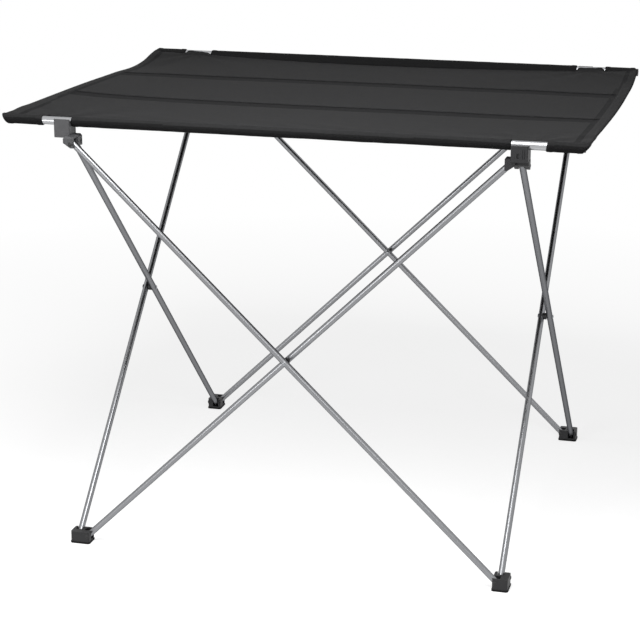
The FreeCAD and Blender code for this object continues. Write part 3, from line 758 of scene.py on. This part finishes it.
def moulded_nylon(name, dark, light, rough, grain):
    """Glass-filled nylon from a spark-eroded mould: matt, finely pebbled, slightly cloudy."""
    material, tree = new_finish(name)
    place = add(tree, "ShaderNodeTexCoord").outputs["Object"]
    pebble = add(tree, "ShaderNodeTexNoise", {"Vector": place, "Scale": per(grain), "Detail": 2.0,
                                              "Roughness": 0.7})
    # Flow of the glass fibres shows as clouds about 9 mm across.
    cloud = add(tree, "ShaderNodeTexNoise", {"Vector": place, "Scale": per(9), "Detail": 3.0})
    tint = add(tree, "ShaderNodeMixRGB", {"Fac": cloud.outputs[0], "Color1": linear(dark),
                                          "Color2": linear(light)})
    gloss = add(tree, "ShaderNodeMapRange", {"Value": pebble.outputs[0], "From Min": 0.3, "From Max": 0.7,
                                             "To Min": rough - 0.06, "To Max": rough + 0.1})
    relief = add(tree, "ShaderNodeBump", {"Height": pebble.outputs[0], "Strength": 0.35,
                                          "Distance": 0.00015})
    close(tree, {"Base Color": tint.outputs[0], "Roughness": gloss.outputs[0], "IOR": 1.53,
                 "Specular IOR Level": 0.4, "Normal": relief.outputs[0]})
    return material


def moulded_rubber():
    """Moulded rubber pad: black, matt and softly stippled, with a little dust."""
    material, tree = new_finish("moulded_rubber")
    place = add(tree, "ShaderNodeTexCoord").outputs["Object"]
    stipple = add(tree, "ShaderNodeTexVoronoi", {"Vector": place, "Scale": per(1.2)})
    dust = add(tree, "ShaderNodeTexNoise", {"Vector": place, "Scale": per(12), "Detail": 4.0})
    tint = add(tree, "ShaderNodeMixRGB", {"Fac": dust.outputs[0], "Color1": linear("#141414"),
                                          "Color2": linear("#262626")})
    relief = add(tree, "ShaderNodeBump", {"Height": stipple.outputs[0], "Strength": 0.3, "Distance": 0.0002})
    close(tree, {"Base Color": tint.outputs[0], "Roughness": 0.85, "Specular IOR Level": 0.25,
                 "Normal": relief.outputs[0]})
    return material


# The real threads are 0.4 mm apart: drawn three times as coarse, so that they show.
THREAD = 1.2


def woven_cloth(name, dark, light, strength):
    """Coated plain-weave polyester: matt charcoal with a fine regular weave and uneven yarn."""
    material, tree = new_finish(name)
    flat = add(tree, "ShaderNodeUVMap", uv_map="flat_cloth").outputs[0]
    parts = add(tree, "ShaderNodeSeparateXYZ", {"Vector": flat})
    ridges = []
    for axis in (0, 1):
        wave = add(tree, "ShaderNodeMath", {0: parts.outputs[axis], 1: math.pi * per(THREAD)},
                   operation="MULTIPLY")
        wave = add(tree, "ShaderNodeMath", {0: wave.outputs[0]}, operation="SINE")
        ridges.append(add(tree, "ShaderNodeMath", {0: wave.outputs[0]}, operation="ABSOLUTE"))
    over = add(tree, "ShaderNodeTexChecker", {"Vector": flat, "Scale": per(THREAD)})
    weave = add(tree, "ShaderNodeMixRGB", {"Fac": over.outputs["Fac"], "Color1": ridges[0].outputs[0],
                                           "Color2": ridges[1].outputs[0]})
    # Uneven yarn shows as short faint streaks both ways, about 12 mm long and a thread wide.
    streaks = []
    for scale in ((per(12), per(1.1), 1), (per(1.1), per(12), 1)):
        run = add(tree, "ShaderNodeMapping", {"Vector": flat, "Scale": scale})
        streaks.append(add(tree, "ShaderNodeTexNoise", {"Vector": run.outputs[0], "Scale": 1.0,
                                                        "Detail": 1.0}))
    yarn = add(tree, "ShaderNodeMixRGB", {"Fac": 0.5, "Color1": streaks[0].outputs[0],
                                          "Color2": streaks[1].outputs[0]})
    # Slack and tight picks show as soft bars along the cloth, about 70 mm long and 6 mm apart.
    bars = add(tree, "ShaderNodeMapping", {"Vector": flat, "Scale": (per(70), per(6), 1)})
    cloud = add(tree, "ShaderNodeTexNoise", {"Vector": bars.outputs[0], "Scale": 1.0, "Detail": 2.0})
    shade = add(tree, "ShaderNodeMixRGB", {"Fac": 0.3, "Color1": yarn.outputs[0],
                                           "Color2": cloud.outputs[0]})
    shade = add(tree, "ShaderNodeMixRGB", {"Fac": 0.35, "Color1": shade.outputs[0],
                                           "Color2": weave.outputs[0]})
    spread = add(tree, "ShaderNodeMapRange", {"Value": shade.outputs[0], "From Min": 0.25,
                                              "From Max": 0.75})
    tint = add(tree, "ShaderNodeMixRGB", {"Fac": spread.outputs[0], "Color1": linear(dark),
                                          "Color2": linear(light)})
    height = add(tree, "ShaderNodeMixRGB", {"Fac": 0.4, "Color1": weave.outputs[0],
                                            "Color2": yarn.outputs[0]})
    relief = add(tree, "ShaderNodeBump", {"Height": height.outputs[0], "Strength": strength,
                                          "Distance": 0.0003})
    close(tree, {"Base Color": tint.outputs[0], "Roughness": 0.9, "Specular IOR Level": 0.12,
                 "Normal": relief.outputs[0]})
    return material


def polyester_thread():
    """Polyester sewing thread: a dark, slightly glossy twist."""
    material, tree = new_finish("polyester_thread")
    place = add(tree, "ShaderNodeTexCoord").outputs["Object"]
    twist = add(tree, "ShaderNodeTexNoise", {"Vector": place, "Scale": per(0.6), "Detail": 1.0})
    tint = add(tree, "ShaderNodeMixRGB", {"Fac": twist.outputs[0], "Color1": linear("#1b1b1c"),
                                          "Color2": linear("#39393b")})
    close(tree, {"Base Color": tint.outputs[0], "Roughness": 0.6, "Specular IOR Level": 0.3})
    return material


LEG_RUN = 2 * 0.263           # a leg goes this far across the table
LEG_RISE = 0.509              # and this far up
LEAN = math.atan2(LEG_RUN, LEG_RISE)
FALLING = LEAN - math.pi / 2
# Turns that lay each kind of leg along X, so that the draw lines run along the tube.
LEG_TURNS = {("front", "outer"): (0, FALLING, 0), ("front", "inner"): (0, -FALLING, 0),
             ("right", "outer"): (0, FALLING, -math.pi / 2), ("right", "inner"): (0, -FALLING, -math.pi / 2)}
SAME_TURN = {("rear", "outer"): ("front", "inner"), ("rear", "inner"): ("front", "outer"),
             ("left", "outer"): ("right", "inner"), ("left", "inner"): ("right", "outer")}
tube_finish = {key: drawn_aluminium("anodised_tube_" + "_".join(key), "#86878a", "#939496", turn, 0.3)
               for key, turn in LEG_TURNS.items()}
for key, same in SAME_TURN.items():
    tube_finish[key] = tube_finish[same]
# Painted highlight: the rods take a lighter copy of the tube aluminium, so that they read bright in the
# cut-outs.
rod_lit_finish = drawn_aluminium("anodised_rod_painted_highlight", "#9fa0a2", "#bcbdbf", (0, 0, 0), 0.24)
slat_finish = drawn_aluminium("mill_finish_slat", "#86878a", "#a9aaad", (0, 0, 0), 0.4)
rivet_finish = zinc_plated_steel()
pin_finish = black_steel()
hub_dark = moulded_nylon("moulded_nylon_hub", "#1b1b1d", "#262628", 0.5, 0.5)
# Painted light: a lighter copy of the hub nylon, for the two hubs whose faces catch more light.
hub_lit_finish = moulded_nylon("moulded_nylon_hub_painted_light", "#48484a", "#565658", 0.45, 0.5)
foot_finish = moulded_nylon("moulded_nylon_foot", "#202022", "#2c2c2e", 0.55, 0.6)
plug_finish = moulded_nylon("moulded_nylon_plug", "#161617", "#222223", 0.5, 0.4)
pad_finish = moulded_rubber()
cloth_finish = woven_cloth("woven_polyester_charcoal", "#252525", "#323233", 0.25)
# Painted shade: a darker copy of the cloth, for the sunken channel bands and the hem's fold line.
band_shade_finish = woven_cloth("woven_polyester_painted_shade", "#121213", "#1b1b1c", 0.25)
# Black cloth of the channels and cut-out bindings, also used as painted shade on the sleeves.
black_cloth_and_shade_finish = woven_cloth("woven_polyester_black_and_painted_shade", "#181818", "#222223", 0.3)
thread_finish = polyester_thread()

# A CAD node takes the finish of the first of these that its name starts with. Legs go by their side.
# The front left and rear right hubs take the lit copy of the hub nylon, which is painted light.
NODE_FINISHES = {"leg_plugs": plug_finish, "cross_spacer": plug_finish, "rod_caps": plug_finish,
                 "rod_": rod_lit_finish, "hub_pins": pin_finish, "foot_pins": pin_finish,
                 "cross_rivet": rivet_finish, "foot_pad": pad_finish, "foot": foot_finish,
                 "hub_front_left": hub_lit_finish, "hub_rear_right": hub_lit_finish, "hub": hub_dark}


def node_finish(name):
    """Finish of a CAD node, by its name."""
    for start, finish in NODE_FINISHES.items():
        if name.startswith(start):
            return finish
    if name.startswith("leg_"):
        return tube_finish[tuple(name.split("_")[1:])]
    return black_cloth_and_shade_finish


def paint(piece, *materials):
    """Gives a piece its materials and keeps which face has which."""
    chosen = [face.material_index for face in piece.data.polygons]
    piece.data.materials.clear()
    for material in materials:
        piece.data.materials.append(material)
    if len(materials) > 1:
        piece.data.polygons.foreach_set("material_index", chosen)


for name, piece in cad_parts.items():
    paint(piece, node_finish(name))
# The sheet's second material is painted shade on its channel bands and hem fold line.
paint(sheet, cloth_finish, band_shade_finish)
# The sleeves' second material is painted shade.
for piece in sleeves:
    paint(piece, cloth_finish, black_cloth_and_shade_finish)
for piece in hems:
    paint(piece, cloth_finish)
for piece in (*channels, *bindings):
    paint(piece, black_cloth_and_shade_finish)
for piece in slats:
    paint(piece, slat_finish)
paint(stitching, thread_finish)


# ---- Floor, light and camera ----

SOFT_LEVEL = 0.12             # the world's light on everything but the camera and reflections
FLOOR_HALF = 12.0             # half of the floor's side
FLOOR_GLOW = 0.76             # brings the lit floor up to white
FLOOR_PLAIN = (0.7, 1.6)      # the floor turns plain white between these distances from the table
WHITE = (1, 1, 1, 1)
# Square soft boxes: place, the point they face, side in metres and power in watts.
BOXES = {
    "overhead": ((0.0, -0.6, 1.15), (0.0, -0.15, 0.5), 0.5, 6.8),
    "right_box": ((1.2, -2.2, 1.4), (0.0, -0.1, 0.3), 0.7, 5.5),
    "left_box": ((-1.4, -2.4, 0.45), (0.0, -0.1, 0.3), 0.7, 10.5),
}
CAMERA_PLACE = Vector((0.6197, -2.4115, 0.9825))
CAMERA_TARGET = Vector((-0.0311, 0.0, 0.2357))
CAMERA_LENS = 109.2           # in millimetres, on a 36 mm sensor
CAMERA_SENSOR = 36.0


def seen_directly(tree, ray):
    """1 for the camera and for reflections, 0 for other light."""
    return add(tree, "ShaderNodeMath", {0: ray.outputs["Is Camera Ray"], 1: ray.outputs["Is Glossy Ray"]},
               operation="MAXIMUM")


def turn_to(thing, target):
    """Turns a lamp or the camera to face a point."""
    thing.rotation_euler = (Vector(target) - thing.location).to_track_quat("-Z", "Y").to_euler()


def white_background():
    """White for the camera and for reflections, and a plain soft level of light for everything else."""
    world = bpy.data.worlds.new("studio")
    bpy.context.scene.world = world
    world.use_nodes = True
    tree = world.node_tree
    tree.nodes.clear()
    ray = add(tree, "ShaderNodeLightPath")
    seen = seen_directly(tree, ray)
    seen = add(tree, "ShaderNodeMath", {0: seen.outputs[0], 1: ray.outputs["Is Transmission Ray"]},
               operation="MAXIMUM")
    soft = add(tree, "ShaderNodeBackground", {"Color": WHITE, "Strength": SOFT_LEVEL})
    white = add(tree, "ShaderNodeBackground", {"Color": WHITE, "Strength": 1.0})
    mixed = add(tree, "ShaderNodeMixShader", {0: seen.outputs[0], 1: soft.outputs[0], 2: white.outputs[0]})
    add(tree, "ShaderNodeOutputWorld", {"Surface": mixed.outputs[0]})


def white_floor():
    """Pale floor that reads as white round the table and keeps its soft shadow."""
    bm = bmesh.new()
    bmesh.ops.create_grid(bm, x_segments=1, y_segments=1, size=FLOOR_HALF)
    mesh = bpy.data.meshes.new("floor")
    bm.to_mesh(mesh)
    bm.free()
    floor = bpy.data.objects.new("floor", mesh)
    bpy.context.scene.collection.objects.link(floor)
    material, tree = new_finish("white_floor")
    seen = seen_directly(tree, add(tree, "ShaderNodeLightPath"))
    level = add(tree, "ShaderNodeMath", {0: seen.outputs[0], 1: FLOOR_GLOW}, operation="MULTIPLY")
    matt = add(tree, "ShaderNodeBsdfDiffuse", {"Color": linear("#e6e6e6")})
    glow = add(tree, "ShaderNodeEmission", {"Color": WHITE, "Strength": level.outputs[0]})
    near = add(tree, "ShaderNodeAddShader", {0: matt.outputs[0], 1: glow.outputs[0]})
    white = add(tree, "ShaderNodeEmission", {"Color": WHITE, "Strength": 1.0})
    place = add(tree, "ShaderNodeTexCoord").outputs["Object"]
    away = add(tree, "ShaderNodeVectorMath", {0: place}, operation="LENGTH")
    far = add(tree, "ShaderNodeMapRange", {"Value": away.outputs["Value"], "From Min": FLOOR_PLAIN[0],
                                           "From Max": FLOOR_PLAIN[1]})
    far = add(tree, "ShaderNodeMath", {0: far.outputs[0], 1: seen.outputs[0]}, operation="MULTIPLY")
    both = add(tree, "ShaderNodeMixShader", {0: far.outputs[0], 1: near.outputs[0], 2: white.outputs[0]})
    add(tree, "ShaderNodeOutputMaterial", {"Surface": both.outputs[0]})
    paint(floor, material)


def soft_light(name, place, target, size, power):
    """Square soft light that faces a point."""
    lamp = bpy.data.lights.new(name, "AREA")
    lamp.shape = "SQUARE"
    lamp.size = size
    lamp.energy = power
    light = bpy.data.objects.new(name, lamp)
    bpy.context.scene.collection.objects.link(light)
    light.location = place
    turn_to(light, target)


white_background()
white_floor()
for name, box in BOXES.items():
    soft_light(name, *box)

lens = bpy.data.cameras.new("camera")
lens.lens = CAMERA_LENS
lens.sensor_width = CAMERA_SENSOR
camera = bpy.data.objects.new("camera", lens)
bpy.context.scene.collection.objects.link(camera)
camera.location = CAMERA_PLACE
turn_to(camera, CAMERA_TARGET)
bpy.context.scene.camera = camera
bpy.context.scene.view_settings.view_transform = "Standard"
